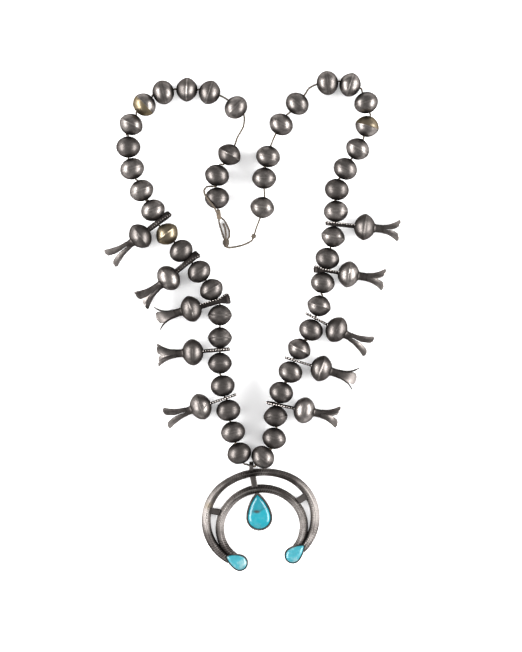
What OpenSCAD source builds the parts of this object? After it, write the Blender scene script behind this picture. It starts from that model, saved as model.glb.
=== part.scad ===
// A silver string necklace laid flat: two strings of hollow beads, ten
// blossoms, a double crescent pendant with three cabochons, and the cord.
// Millimetres. The floor is z = 0 and the pendant lies towards -Y.

/* [Beads] */
// Width of a plain bead across its seam
bead_w = 12.9; // [10:0.1:13]
// Length of a plain bead along its hole
bead_l = 11.3; // [9:0.1:12]
// Thickness of the silver wall of every bead
bead_wall = 0.5; // [0.3:0.1:1]
// Diameter of the hole through a plain bead
bead_bore = 2.4; // [1.6:0.1:3]

/* [Blossoms] */
// Width of the bead in a blossom across its seam
pod_w = 14.2; // [12:0.1:16]
// Length of the bead in a blossom along its axis
pod_l = 11.4; // [10:0.1:13]
// Outer diameter of the tube between bead and petals
stem_d = 4.4; // [3.5:0.1:6]
// Thickness of the petals and of the tube wall
petal_t = 0.6; // [0.4:0.1:1]
// Distance from the start of the flare to the slits
slit_from = 1; // [0:0.1:4]
// Height of the loop at its far end
loop_w = 5.8; // [4.5:0.1:7]
// Height of the loop where it meets the bead
loop_neck = 3.2; // [2:0.1:4]
// Width of the band that the loop is cut from
loop_band = 1; // [0.8:0.1:1.4]

/* [Pendant] */
// Width of the outer crescent band
outer_band = 4.8; // [3:0.1:6]
// Width of the inner crescent band
inner_band = 4.5; // [3:0.1:6]
// Height of the ridge along each crescent
ridge_h = 3.4; // [2:0.1:5]
// Turn of the pendant on the floor
pendant_turn = 8; // [-20:1:20]
// Height of the wall around each stone
bezel_h = 3; // [2:0.1:4]
// Outer diameter of the hanging ring
bail_d = 5.4; // [4:0.1:7]
// Width of the hanging ring along the string
bail_w = 2.2; // [1.5:0.1:3]

/* [Cord] */
// Diameter of the cord that the beads are strung on
cord_d = 0.9; // [0.6:0.1:1.2]
// Diameter of the thinner strands at the closure
strand_d = 0.8; // [0.5:0.1:1]

/* [Hidden] */
// Moves every piece so that the whole necklace is centred on the origin.
centre_x = -0.2;
centre_y = 0.4;

// Strings, from the closure round to the pendant. One row a bead:
// x, y, heading of the hole along the string, lift off the floor, pitch.
left_beads = [
    [-18.5, 65, 94], [-18.5, 77, 76], [-12, 88, 60],
    [-8.5, 113, 137], [-22.5, 121, 163], [-34.5, 122.5, 178],
    [-47, 121, 195], [-57, 114.5, 224], [-64, 104, 242],
    [-65.5, 92, 270], [-63.5, 80.5, 289], [-58.5, 69, 292],
    [-52.5, 58.5, 295],
    [-45, 46, 313], [-37.5, 37, 308],
    [-28, 26, 308], [-21.5, 16.5, 302],
    [-17, 3, 270], [-17, -9, 270],
    [-17, -22.5, 270], [-15.5, -34.5, 280],
    [-12.5, -47.5, 278], [-10, -59, 284, 0.1, 4],
    [-6.7, -70.2, 292, 0.1, -8]
];
right_beads = [
    [5.5, 60, 78], [6.5, 75.5, 90], [8.5, 87, 76],
    [15.5, 104, 60], [24, 115, 50],
    [40, 126, 8], [52, 125, 342], [60.5, 115.5, 290],
    [61, 103, 253], [56, 91, 240], [49.5, 80.5, 240],
    [45, 69.5, 260], [44.5, 58, 270],
    [43, 44.5, 256], [40, 33, 254],
    [37.5, 20.1, 262], [35.6, 7.9, 252],
    [31.3, -4.9, 248], [25, -15, 240],
    [20.4, -27.2, 250], [15.5, -38, 252],
    [12.5, -50.7, 272], [11.8, -62.3, 256, 0.1, 3],
    [5.8, -72.2, 229, 0.6, -5]
];

// Blossoms. One row each: x, y of the bead, heading from loop to petals,
// twist of the loop, roll of the petals, the string bead before it, how far
// the petals reach from the bead centre and spread from the axis, where
// they start to flare, the width of one petal, how far the loop reaches the
// other way, and its width along the string low down, on its upper side and
// on that side at the far end.
left_blossoms = [
    [-59.1, 44.8, 217, 14, 40, 13, 20.3, 6, 8.5, 3.6, 20, 1.6, 2.2, 3],
    [-44.1, 22.6, 219, 14, 30, 15, 19.3, 6, 8.5, 3.6, 20.6, 1.6, 2.3, 3.9],
    [-32.2, 6.3, 196, 5, 5, 17, 18.8, 6.5, 9.5, 4.8, 21.4, 1.4, 2.3, 5],
    [-31.3, -16.7, 184.5, 6, 30, 19, 18.8, 6.3, 9.5, 3.6, 19.7, 1.4, 1.9, 1.9],
    [-27.1, -45.5, 199, 0, 45, 21, 19.6, 6.3, 8.5, 3.6, 19.8, 1.2, 1.3, 1.3]
];
right_blossoms = [
    [59.6, 49.6, -6, 6, 45, 13, 18.6, 6.5, 10.5, 3.6, 20.8, 1.5, 2.3, 2.3],
    [51.1, 24.6, -9, 2, 40, 15, 19.3, 6.5, 10.5, 3.6, 18.7, 1.3, 1.9, 3.9],
    [44.8, -4.7, -28, 0, 45, 17, 19.8, 6.3, 8.5, 3.6, 18.4, 1.2, 1.3, 1.3],
    [36.7, -25.3, -17, 0, 5, 19, 19.2, 6.3, 9.5, 4.8, 20.2, 1.2, 1.3, 1.3],
    [27.7, -47.4, -12, 6, 35, 21, 18.6, 6.3, 9.5, 3.6, 20.5, 1.2, 1.5, 1.5]
];

// Bare stretches of cord. One row a point: the bead before it, x, y, z.
left_bare = [
    [0, -17.4, 54.2, 2.5], [0, -18, 58.6, 5.8],
    [3, -7.8, 97, 6.1], [3, -4.5, 103, 5.8],
    [24, -2.6, -76.3, 4.4], [24, -1.5, -76.9, 3.4], [24, -0.5, -77.2, 3.2]
];
right_bare = [
    [5, 30.2, 123.2, 6.2],
    [24, 1.6, -77.3, 4.7], [24, 0.8, -77.3, 3.4], [24, -0.1, -77.2, 3.2]
];
// Height of the cord where it goes through a blossom's loop.
loop_z = 7.1;

// Pendant crescents: half width, height of the top above the centre line,
// radius at the sides, height of that centre line, sweep below it.
pendant = [4.6, -105.5];
outer_shape = [29.1, 24.4, 23, 0, 55];
inner_shape = [22.4, 20.7, 18.5, -4.6, 47];
// Stone settings: x, y of the round end, heading of the point, radius of
// the round end, reach of the point, radius of the flanks, stone height,
// thickness of the wall around the stone.
drop_shape = [-0.6, 0.9, 87, 7, 13.6, 20, 5, 0.9];
right_shape = [14.2, -21.5, 34, 4.4, 8.8, 14, 4.4, 0.5];
left_shape = [-14.2, -21.5, 146, 4.4, 8.8, 14, 4.4, 0.5];
// Crossbars between the crescents: x, y, heading, length, width.
crossbars = [
    [-0.8, 20.2, 92, 6.5, 3.2],
    [-23.7, 7.4, 162, 6, 3.4],
    [23.3, 7.8, 24, 6, 3.6]
];
bail = [-0.3, -77.5, 2.8];
bail_hole = 3.3;

// Closure: the wrap, the strand that folds back, the tie and the tail.
wrap_d = 2.6;
wrap_ends = [[-17.4, 54.2, 2.5], [-18, 58.6, 5.8]];
loop_route = [
    [-17.6, 53, 1.2], [-17.2, 51, 0.7], [-16.3, 48, 0.5], [-15.3, 45, 0.7],
    [-14.65, 43.2, 1.1], [-14.65, 40.6, 1.1], [-14.4, 39.8, 0.7],
    [-13.8, 39.4, 0.5], [-13.2, 39.8, 0.7], [-12.95, 40.6, 1.1],
    [-12.95, 43.2, 1.1], [-12, 45, 0.7], [-12.1, 48, 0.5],
    [-13.4, 51, 0.7], [-14.8, 53.4, 1.2]
];
tie_route = [
    [4.2, 54, 6.2], [3.5, 52.4, 5.2], [2.6, 50.1, 3.4], [1.9, 48, 2],
    [1.4, 46.5, 1.5], [0.4, 43.5, 1.3], [-0.5, 42.4, 0.9],
    [-2.6, 41.2, 0.45], [-5.8, 40, 0.45],
    [-9, 39.3, 0.6], [-11.2, 38.9, 1.2], [-12.9, 38.9, 1.8],
    [-13.7, 39.7, 1.9], [-13.8, 41.6, 1.9], [-13.8, 43.4, 1.7],
    [-13.9, 46, 0.8], [-14.3, 49, 0.5], [-15.4, 51.8, 0.7]
];
tie_knot_at = [0.9, 45, 1.4];
tie_knot_heading = [-1, -3, -0.2];
tie_knot_r = 1.35;
tail_route = [
    [-21.9, 71.2, 7], [-24, 70.8, 8], [-25.3, 68.9, 9.2],
    [-24.7, 66.3, 10.4], [-23, 63.8, 11.6], [-21, 61.2, 11.8],
    [-19.4, 58.8, 10.2], [-18.8, 57.4, 8.4]
];
knot_at = [-13.8, 41.7, 1.35];
knot_size = [3.6, 2.4, 2.7];

$fn = 48;

silver = [0.62, 0.58, 0.56];
turquoise = [0.25, 0.72, 0.78];
fibre = [0.62, 0.52, 0.4];

function unit(v) = v / norm(v);
function entry(row, i) = len(row) > i ? row[i] : 0;
function aim(heading, pitch) =
    [cos(heading) * cos(pitch), sin(heading) * cos(pitch), sin(pitch)];
function bead_at(row) = [row[0], row[1], bead_w / 2 + entry(row, 3)];
function bead_aim(row) = aim(row[2], entry(row, 4));

// Radius of the two domes that make a bead, and how far each is set back.
function dome_back(w, l) = (w * w - l * l) / (4 * l);
function dome_r(w, l) = l / 2 + dome_back(w, l);

// Cord route: both holes of each bead in turn, with the loops and the bare
// stretches between them.
function holes(row) =
    let (reach = bead_l / 2 + 0.1)
    [bead_at(row) - reach * bead_aim(row), bead_at(row) + reach * bead_aim(row)];
function bare(rows, k) = [for (e = rows) if (e[0] == k) [e[1], e[2], e[3]]];
function crossing(beads, blossoms, k) = [
    for (b = blossoms) if (b[5] == k)
        let (m = (holes(beads[k - 1])[1] + holes(beads[k])[0]) / 2)
        [m[0], m[1], loop_z]
];
function string_route(beads, blossoms, extra) = [
    each bare(extra, 0),
    for (i = [0 : len(beads) - 1])
        each concat(holes(beads[i]), crossing(beads, blossoms, i + 1), bare(extra, i + 1))
];

// Direction of a route at one of its points.
function heading_at(p, i) = unit(
    i == 0 ? p[1] - p[0]
    : i == len(p) - 1 ? p[i] - p[i - 1]
    : unit(p[i + 1] - p[i]) + unit(p[i] - p[i - 1])
);

// A cord of one diameter swept along its route.
module cord(p, d, sides = 8) {
    last = len(p) - 1;
    points = [
        for (i = [0 : last])
            let (t = heading_at(p, i), s = unit(cross([0, 0, 1], t)), u = cross(t, s))
            for (k = [0 : sides - 1])
                p[i] + d / 2 * (cos(360 * k / sides) * s + sin(360 * k / sides) * u)
    ];
    faces = [
        [for (k = [sides - 1 : -1 : 0]) k],
        for (i = [0 : last - 1], k = [0 : sides - 1])
            let (a = i * sides + k, b = i * sides + (k + 1) % sides)
            [a, b, b + sides, a + sides],
        [for (k = [0 : sides - 1]) last * sides + k]
    ];
    polyhedron(points, [for (f = faces) [for (i = [len(f) - 1 : -1 : 0]) f[i]]]);
}

// Turns the X axis to a given direction.
module facing(v) {
    rotate([0, -asin(v[2] / norm(v)), atan2(v[1], v[0])]) children();
}

module placed() {
    translate([centre_x, centre_y, 0]) children();
}

// Outline of two domes joined at the seam, with the hole along Y.
module lens(w, l, less = 0) {
    back = dome_back(w, l);
    r = dome_r(w, l) - less;
    intersection() {
        translate([0, back]) circle(r);
        translate([0, -back]) circle(r);
        translate([0, -l]) square([w, 2 * l]);
    }
}

module bead() {
    rotate([0, 90, 0]) rotate_extrude() difference() {
        lens(bead_w, bead_l);
        lens(bead_w, bead_l, bead_wall);
        translate([-1, -bead_l]) square([1 + bead_bore / 2, 2 * bead_l]);
    }
}

module bead_string(rows) {
    for (row = rows)
        translate(bead_at(row)) facing(bead_aim(row)) bead();
}

// The loop that the cord goes through: a long drop cut from flat silver. Its
// upper side is wider and gets wider still where the beads curve away.
module blossom_loop(reach, low, upper, far) {
    x_far = -(reach - loop_w / 2);
    x_near = -(pod_l / 2 - 0.4);
    difference() {
        union() {
            loop_plate(x_far, x_near, loop_w / 2, loop_neck / 2, low);
            intersection() {
                loop_plate(x_far, x_near, loop_w / 2, loop_neck / 2, far + 1);
                translate([0, 0, 0.9]) linear_extrude(loop_w) polygon([
                    [0, upper / 2], [4.5 - reach, upper / 2], [1 - reach, far / 2],
                    [-1 - reach, far / 2], [-1 - reach, -far / 2],
                    [1 - reach, -far / 2], [4.5 - reach, -upper / 2], [0, -upper / 2]
                ]);
            }
        }
        loop_plate(x_far, x_near - 2, loop_w / 2 - loop_band, loop_neck / 2 - loop_band, far + 2);
    }
}

// A round end with two straight flanks that run in to a narrower neck.
module loop_plate(x_far, x_near, r_far, r_near, t) {
    rotate([90, 0, 0]) translate([0, 0, -t / 2]) {
        linear_extrude(t) {
            translate([x_far, 0]) circle(r_far);
            polygon([
                [x_far, r_far], [x_near, r_near],
                [x_near, -r_near], [x_far, -r_far]
            ]);
        }
    }
}

// The open tube past the bead flares outwards and is slit in four. The flare
// is an arc that starts along the tube and ends at the reach and the spread.
wall_r = (stem_d - petal_t) / 2;
function flare_rise(spread) = spread - petal_t / 2 - wall_r;
function flare_r(run, spread) =
    (run * run + pow(flare_rise(spread), 2)) / (2 * flare_rise(spread));

// Outline of the hollow bead, its tube and the flare, turned as one wall.
module pod_wall(reach, spread, flare_at) {
    r = flare_r(reach - flare_at, spread);
    difference() {
        lens(pod_w, pod_l);
        lens(pod_w, pod_l, bead_wall);
        translate([-1, 0]) square([1 + wall_r, pod_l]);
    }
    translate([wall_r - petal_t / 2, pod_l / 2 - 0.6])
        square([petal_t, flare_at - pod_l / 2 + 0.6]);
    intersection() {
        translate([wall_r + r, flare_at]) difference() {
            circle(r + petal_t / 2, $fn = 96);
            circle(r - petal_t / 2, $fn = 96);
        }
        translate([0.5, flare_at]) square([spread + 2, reach + 0.4 - flare_at]);
    }
}

// What is cut away between two petals, and round the tip of one.
module slit(reach, spread, flare_at, w) {
    translate([flare_at + slit_from, w / 2, w / 2])
        cube([reach - flare_at, spread + 2, spread + 2]);
}
module tip_trim(reach, spread, w) {
    tip_r = 0.58 * w;
    linear_extrude(spread + 2) difference() {
        translate([reach - 0.28 * w, -w]) square([w, 2 * w]);
        translate([reach - tip_r, 0]) circle(tip_r);
    }
}

module blossom(row) {
    reach = row[6];
    spread = row[7];
    flare_at = row[8];
    translate([row[0], row[1], pod_w / 2]) rotate([0, 0, row[2]]) {
        rotate([row[4], 0, 0]) difference() {
            rotate([0, 90, 0]) rotate_extrude() pod_wall(reach, spread, flare_at);
            for (k = [0 : 3]) rotate([90 * k, 0, 0]) {
                slit(reach, spread, flare_at, row[9]);
                tip_trim(reach, spread, row[9]);
            }
        }
        rotate([row[3], 0, 0]) blossom_loop(row[10], row[11], row[12], row[13]);
    }
}

// Pendant: an oval band made of a wide top arc and two tighter side arcs.
module crescent(shape, band) {
    half = shape[0] - shape[2];
    top_r = (half * half + shape[1] * shape[1] - shape[2] * shape[2])
        / (2 * (shape[1] - shape[2]));
    turn = atan2(top_r - shape[1], half);
    translate([0, shape[3], 0]) {
        for (side = [0, 1])
            mirror([side, 0, 0]) translate([half, 0, 0]) rotate([0, 0, -shape[4]])
                rotate_extrude(angle = turn + shape[4] + 0.6)
                    translate([shape[2], 0]) band_section(band, 0);
        translate([0, shape[1] - top_r, 0]) rotate([0, 0, turn])
            rotate_extrude(angle = 180 - 2 * turn)
                translate([top_r, 0]) band_section(band, 0.02);
    }
}

// Low sides with a ridge along the middle, drawn in a little where one arc
// runs into the next.
module band_section(band, less) {
    half = band / 2 - less;
    low = 0.9 - less;
    polygon([
        [-half, 0], [half, 0], [half, low],
        [0.35, ridge_h - less], [-0.35, ridge_h - less], [-half, low]
    ]);
}

// Pear outline from a round end and two long flanks, as points. The point
// is on +X, and less is how far it is drawn in from the full outline.
function pear(s, less) =
    let (
        r = s[3], tip = s[4], f = s[5],
        lean = (tip * tip + r * r - 2 * f * r) / (2 * (f - r) * tip),
        cx = (f - r) * lean,
        cy = -(f - r) * sqrt(1 - lean * lean),
        reach = cx + sqrt(pow(f - less, 2) - cy * cy),
        start = atan2(-cy, reach - cx),
        join = 180 - acos(lean)
    )
    concat(
        [for (k = [0 : 7])
            let (a = start + (join - start) * k / 8)
            [cx + (f - less) * cos(a), cy + (f - less) * sin(a)]],
        [for (k = [0 : 12])
            let (a = join + (360 - 2 * join) * k / 12)
            [(r - less) * cos(a), (r - less) * sin(a)]],
        [for (k = [7 : -1 : 1])
            let (a = start + (join - start) * k / 8)
            [cx + (f - less) * cos(a), -cy - (f - less) * sin(a)]]
    );

module at_setting(s) {
    translate([s[0], s[1], 0]) rotate([0, 0, s[2]]) children();
}

module setting(s) {
    at_setting(s) linear_extrude(bezel_h) polygon(pear(s, 0));
}

module setting_hollow(s) {
    at_setting(s) translate([0, 0, 0.8]) linear_extrude(9) polygon(pear(s, s[7]));
}

// A smooth domed stone, drawn as rings that close in on the round centre.
module cabochon(s) {
    edge = s[7] + 0.12;
    low = 0.95;
    wall = bezel_h - 0.7;
    span = s[3] - edge;
    rings = [
        [0, low], [0, wall],
        for (a = [15 : 15 : 75])
            [span * (1 - cos(a)), wall + (s[6] - wall) * sin(a)]
    ];
    n = len(pear(s, edge));
    points = [
        for (g = rings) each [for (q = pear(s, edge + g[0])) [q[0], q[1], g[1]]],
        [0, 0, s[6]]
    ];
    last = len(rings) - 1;
    faces = [
        [for (k = [0 : n - 1]) k],
        for (i = [0 : last - 1], k = [0 : n - 1])
            let (a = i * n + k, b = i * n + (k + 1) % n)
            each [[a, b + n, b], [a, a + n, b + n]],
        for (k = [0 : n - 1]) [last * n + k, (last + 1) * n, last * n + (k + 1) % n]
    ];
    polyhedron(points, faces);
}

module on_pendant() {
    placed() translate([pendant[0], pendant[1], 0]) rotate([0, 0, pendant_turn])
        children();
}

module crossbar(row) {
    translate([row[0], row[1], 0]) rotate([0, 0, row[2]])
        translate([-row[3] / 2, -row[4] / 2, 0.2]) cube([row[3], row[4], 2.2]);
}

module naja() {
    color(silver) {
        on_pendant() difference() {
            union() {
                crescent(outer_shape, outer_band);
                crescent(inner_shape, inner_band);
                for (row = crossbars) crossbar(row);
                setting(drop_shape);
                setting(left_shape);
                setting(right_shape);
            }
            setting_hollow(drop_shape);
            setting_hollow(left_shape);
            setting_hollow(right_shape);
        }
        placed() translate(bail) rotate([0, 90, 0]) difference() {
            cylinder(d = bail_d, h = bail_w, center = true);
            cylinder(d = bail_hole, h = 2 * bail_w, center = true);
        }
    }
}

module stone_drop() { color(turquoise) on_pendant() at_setting(drop_shape) cabochon(drop_shape); }
module stone_left() { color(turquoise) on_pendant() at_setting(left_shape) cabochon(left_shape); }
module stone_right() { color(turquoise) on_pendant() at_setting(right_shape) cabochon(right_shape); }

module beads_left() { color(silver) placed() bead_string(left_beads); }
module beads_right() { color(silver) placed() bead_string(right_beads); }

module blossom_left_1() { color(silver) placed() blossom(left_blossoms[0]); }
module blossom_left_2() { color(silver) placed() blossom(left_blossoms[1]); }
module blossom_left_3() { color(silver) placed() blossom(left_blossoms[2]); }
module blossom_left_4() { color(silver) placed() blossom(left_blossoms[3]); }
module blossom_left_5() { color(silver) placed() blossom(left_blossoms[4]); }
module blossom_right_1() { color(silver) placed() blossom(right_blossoms[0]); }
module blossom_right_2() { color(silver) placed() blossom(right_blossoms[1]); }
module blossom_right_3() { color(silver) placed() blossom(right_blossoms[2]); }
module blossom_right_4() { color(silver) placed() blossom(right_blossoms[3]); }
module blossom_right_5() { color(silver) placed() blossom(right_blossoms[4]); }

module thread_left() {
    color(fibre) placed() cord(string_route(left_beads, left_blossoms, left_bare), cord_d);
}
module thread_right() {
    color(fibre) placed() cord(string_route(right_beads, right_blossoms, right_bare), cord_d);
}

module loop_wrap() {
    run = wrap_ends[1] - wrap_ends[0];
    color(fibre) placed() translate(wrap_ends[0]) facing(run) rotate([0, 90, 0])
        difference() {
            cylinder(d = wrap_d, h = norm(run));
            translate([0, 0, -1]) cylinder(d = cord_d + 0.4, h = norm(run) + 2);
        }
}
module closure_loop() { color(fibre) placed() cord(loop_route, strand_d); }
module tie_cord() { color(fibre) placed() cord(tie_route, strand_d); }
module cord_tail() { color(fibre) placed() cord(tail_route, strand_d); }

module tie_knot() {
    color(fibre) placed() translate(tie_knot_at) facing(tie_knot_heading)
        rotate([0, 90, 0]) rotate_extrude() difference() {
            circle(tie_knot_r);
            translate([-2, -2]) square([2 + strand_d / 2 + 0.25, 4]);
        }
}

module loop_knot() {
    color(fibre) placed() translate(knot_at) difference() {
        knot_tube(knot_size[0], knot_size[2], knot_size[1]);
        knot_tube(knot_size[0] - 0.6, knot_size[2] - 0.6, knot_size[1] + 1);
    }
}

// A flat tube with round sides along Y.
module knot_tube(w, h, l) {
    rotate([90, 0, 0]) translate([0, 0, -l / 2]) linear_extrude(l) {
        translate([-(w - h) / 2, 0]) circle(d = h);
        translate([(w - h) / 2, 0]) circle(d = h);
        square([w - h, h], center = true);
    }
}

beads_left();
beads_right();
blossom_left_1();
blossom_left_2();
blossom_left_3();
blossom_left_4();
blossom_left_5();
blossom_right_1();
blossom_right_2();
blossom_right_3();
blossom_right_4();
blossom_right_5();
naja();
stone_drop();
stone_left();
stone_right();
thread_left();
thread_right();
loop_wrap();
closure_loop();
loop_knot();
tie_cord();
tie_knot();
cord_tail();
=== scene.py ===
import math
import random
import bpy
import bmesh
from mathutils import Matrix, Vector, noise


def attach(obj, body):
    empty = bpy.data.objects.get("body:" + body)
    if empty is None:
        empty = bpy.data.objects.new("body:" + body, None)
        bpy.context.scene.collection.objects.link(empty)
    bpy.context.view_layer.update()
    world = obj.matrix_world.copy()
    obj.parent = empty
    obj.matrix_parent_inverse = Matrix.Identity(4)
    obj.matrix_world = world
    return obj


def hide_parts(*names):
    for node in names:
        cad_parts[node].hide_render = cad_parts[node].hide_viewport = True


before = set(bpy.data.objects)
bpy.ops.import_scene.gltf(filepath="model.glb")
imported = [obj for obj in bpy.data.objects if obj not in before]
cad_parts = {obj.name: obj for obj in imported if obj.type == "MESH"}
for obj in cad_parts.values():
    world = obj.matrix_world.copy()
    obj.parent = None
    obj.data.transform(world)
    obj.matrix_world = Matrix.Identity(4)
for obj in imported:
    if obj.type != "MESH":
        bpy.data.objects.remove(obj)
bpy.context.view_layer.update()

mm = 0.001
mergeWithin = 0.0005  # mm
seeds = {"left": 21, "right": 22}  # for the beads' dents and tones

# Layout of the strings in mm, the same rows as the part's own tables:
# x, y, heading of the hole, lift, pitch
leftBeads = [
    (-18.5, 65, 94), (-18.5, 77, 76), (-12, 88, 60), (-8.5, 113, 137), (-22.5, 121, 163),
    (-34.5, 122.5, 178), (-47, 121, 195), (-57, 114.5, 224), (-64, 104, 242), (-65.5, 92, 270),
    (-63.5, 80.5, 289), (-58.5, 69, 292), (-52.5, 58.5, 295), (-45, 46, 313), (-37.5, 37, 308),
    (-28, 26, 308), (-21.5, 16.5, 302), (-17, 3, 270), (-17, -9, 270), (-17, -22.5, 270),
    (-15.5, -34.5, 280), (-12.5, -47.5, 278), (-10, -59, 284, 0.1, 4), (-6.7, -70.2, 292, 0.1, -8),
]
rightBeads = [
    (5.5, 60, 78), (6.5, 75.5, 90), (8.5, 87, 76), (15.5, 104, 60), (24, 115, 50),
    (40, 126, 8), (52, 125, 342), (60.5, 115.5, 290), (61, 103, 253), (56, 91, 240),
    (49.5, 80.5, 240), (45, 69.5, 260), (44.5, 58, 270), (43, 44.5, 256), (40, 33, 254),
    (37.5, 20.1, 262), (35.6, 7.9, 252), (31.3, -4.9, 248), (25, -15, 240), (20.4, -27.2, 250),
    (15.5, -38, 252), (12.5, -50.7, 272), (11.8, -62.3, 256, 0.1, 3), (5.8, -72.2, 229, 0.6, -5),
]
# x, y, heading, twist of the strap, roll of the petals, bead before it, reach, spread,
# start of the flare, petal width, reach of the strap, its width low down, on top, at the far end
blossomRows = {
    "blossom_left_1": (-59.1, 44.8, 217, 14, 40, 13, 20.3, 6, 8.5, 3.6, 20, 1.6, 2.2, 3),
    "blossom_left_2": (-44.1, 22.6, 219, 14, 30, 15, 19.3, 6, 8.5, 3.6, 20.6, 1.6, 2.3, 3.9),
    "blossom_left_3": (-32.2, 6.3, 196, 5, 5, 17, 18.8, 6.5, 9.5, 4.8, 21.4, 1.4, 2.3, 5),
    "blossom_left_4": (-31.3, -16.7, 184.5, 6, 30, 19, 18.8, 6.3, 9.5, 3.6, 19.7, 1.4, 1.9, 1.9),
    "blossom_left_5": (-27.1, -45.5, 199, 0, 45, 21, 19.6, 6.3, 8.5, 3.6, 19.8, 1.2, 1.3, 1.3),
    "blossom_right_1": (59.6, 49.6, -6, 6, 45, 13, 18.6, 6.5, 10.5, 3.6, 20.8, 1.5, 2.3, 2.3),
    "blossom_right_2": (51.1, 24.6, -9, 2, 40, 15, 19.3, 6.5, 10.5, 3.6, 18.7, 1.3, 1.9, 3.9),
    "blossom_right_3": (44.8, -4.7, -28, 0, 45, 17, 19.8, 6.3, 8.5, 3.6, 18.4, 1.2, 1.3, 1.3),
    "blossom_right_4": (36.7, -25.3, -17, 0, 5, 19, 19.2, 6.3, 9.5, 4.8, 20.2, 1.2, 1.3, 1.3),
    "blossom_right_5": (27.7, -47.4, -12, 6, 35, 21, 18.6, 6.3, 9.5, 3.6, 20.5, 1.2, 1.5, 1.5),
}
centre = Vector((-0.2, 0.4, 0))
strings = {"left": leftBeads, "right": rightBeads}
print("layout ready")


# 1 where the distance is nil, falling to 0 at the reach
def near(distance, reach):
    return max(0.0, 1 - abs(distance) / reach)


def limited(value):
    return min(1.0, max(0.0, value))


def randomPlace(rng):
    return Vector((rng.uniform(0, 90), rng.uniform(0, 90), rng.uniform(0, 90)))


def toWorld(x, y, z, heading, pitch=0.0, roll=0.0):
    place = Matrix.Translation((Vector((x, y, z)) + centre) * mm)
    turn = Matrix.Rotation(math.radians(heading), 4, "Z") @ Matrix.Rotation(math.radians(-pitch), 4, "Y")
    return place @ turn @ Matrix.Rotation(math.radians(roll), 4, "X") @ Matrix.Scale(mm, 4)


def newPiece():
    piece = bmesh.new()
    piece.verts.layers.float.new("darkness")
    piece.verts.layers.float.new("brass")
    return piece


# joins a part into a piece, with two numbers that the silver reads: darkness darkens it and brass warms it.
# Each is a number or a function of the place, and with no darkness the part keeps its own.
# darkness holds patina and wear, and in places painted shade and painted highlights
def addPart(piece, part, matrix, darkness=None, brass=0.0):
    for layerName, value in (("darkness", darkness), ("brass", brass)):
        layer = part.verts.layers.float.get(layerName) or part.verts.layers.float.new(layerName)
        if value is not None:
            for vert in part.verts:
                vert[layer] = value(vert.co) if callable(value) else value
    bmesh.ops.transform(part, matrix=matrix, verts=part.verts)
    bmesh.ops.recalc_face_normals(part, faces=part.faces)
    holder = bpy.data.meshes.new("part")
    part.to_mesh(holder)
    part.free()
    piece.from_mesh(holder)
    bpy.data.meshes.remove(holder)


def finishPiece(node, piece, material, smoothAngle=40):
    for face in piece.faces:
        face.smooth = True
    for edge in piece.edges:
        if len(edge.link_faces) == 2 and edge.calc_face_angle(0.0) > math.radians(smoothAngle):
            edge.smooth = False
    mesh = bpy.data.meshes.new(node + "_look")
    piece.to_mesh(mesh)
    piece.free()
    mesh.materials.append(material)
    look = bpy.data.objects.new(node + "_look", mesh)
    bpy.context.scene.collection.objects.link(look)
    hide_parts(node)
    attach(look, "root")
    return look


# spins an outline of (radius, x) points about the X axis
def turned(outline, around):
    part = bmesh.new()
    verts = [part.verts.new((x, r, 0)) for r, x in outline]
    edges = [part.edges.new(pair) for pair in zip(verts, verts[1:])]
    bmesh.ops.spin(part, geom=verts + edges, cent=(0, 0, 0), axis=(1, 0, 0),
                   angle=math.tau, steps=around, use_merge=True, use_duplicate=False)
    bmesh.ops.remove_doubles(part, verts=part.verts, dist=mergeWithin)
    return part


# a closed skin over sections of equally many points: a grid with each row bent round its section
def skinned(sections, darknessRows=None):
    part = bmesh.new()
    darknessLayer = part.verts.layers.float.new("darkness")
    rows, columns = len(sections) - 1, len(sections[0])
    bmesh.ops.create_grid(part, x_segments=columns, y_segments=rows, size=0.5)
    for vert in part.verts:
        k = round((vert.co.x + 0.5) * columns) % columns
        row = round((vert.co.y + 0.5) * rows)
        vert.co = sections[row][k]
        vert[darknessLayer] = darknessRows[row][k] if darknessRows else 0.0
    bmesh.ops.remove_doubles(part, verts=part.verts, dist=mergeWithin)
    bmesh.ops.holes_fill(part, edges=part.edges, sides=0)
    return part


# dents in thin sheet: a wave and a finer one
def dented(part, amount, size, offset):
    for vert in part.verts:
        wave = noise.noise(vert.co / size + offset)
        fine = noise.noise(vert.co / (size * 0.35) + offset * 1.7)
        vert.co += vert.co.normalized() * amount * (wave + 0.35 * fine)


# Beads, in mm. The rim is so many times as wide as the bore, and dents are a depth and a size.
bead = {"width": 12.95, "length": 11.4, "height": 6.45, "bore": 2.7, "rim": 1.12, "lip": 0.25, "seam": 0.16,
        "full": 0.65, "cone": 1.12, "dents": (0.07, 4.5), "darkness": 0.42, "rings": 13, "around": 48}
# beads that come to a sharper seam, and how much
pointed = {
    "left": {3: 0.18, 5: 0.08, 6: 0.18, 9: 0.1, 12: 0.04, 14: 0.18, 17: 0.08, 18: 0.2, 19: 0.2, 20: 0.12},
    "right": {1: 0.1, 2: 0.06, 7: 0.08, 9: 0.14, 10: 0.06, 14: 0.2, 16: 0.05, 17: 0.16, 19: 0.2, 22: 0.16,
              23: 0.05},
}
# tone of single beads: lighter above 0, darker below 0, then how brassy each half is
tones = {
    "left": {8: (0.1, 1.0, 0.0), 14: (0.15, 0.85, 0.85)},
    "right": {9: (0.1, 0.0, 0.8)},
}


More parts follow.
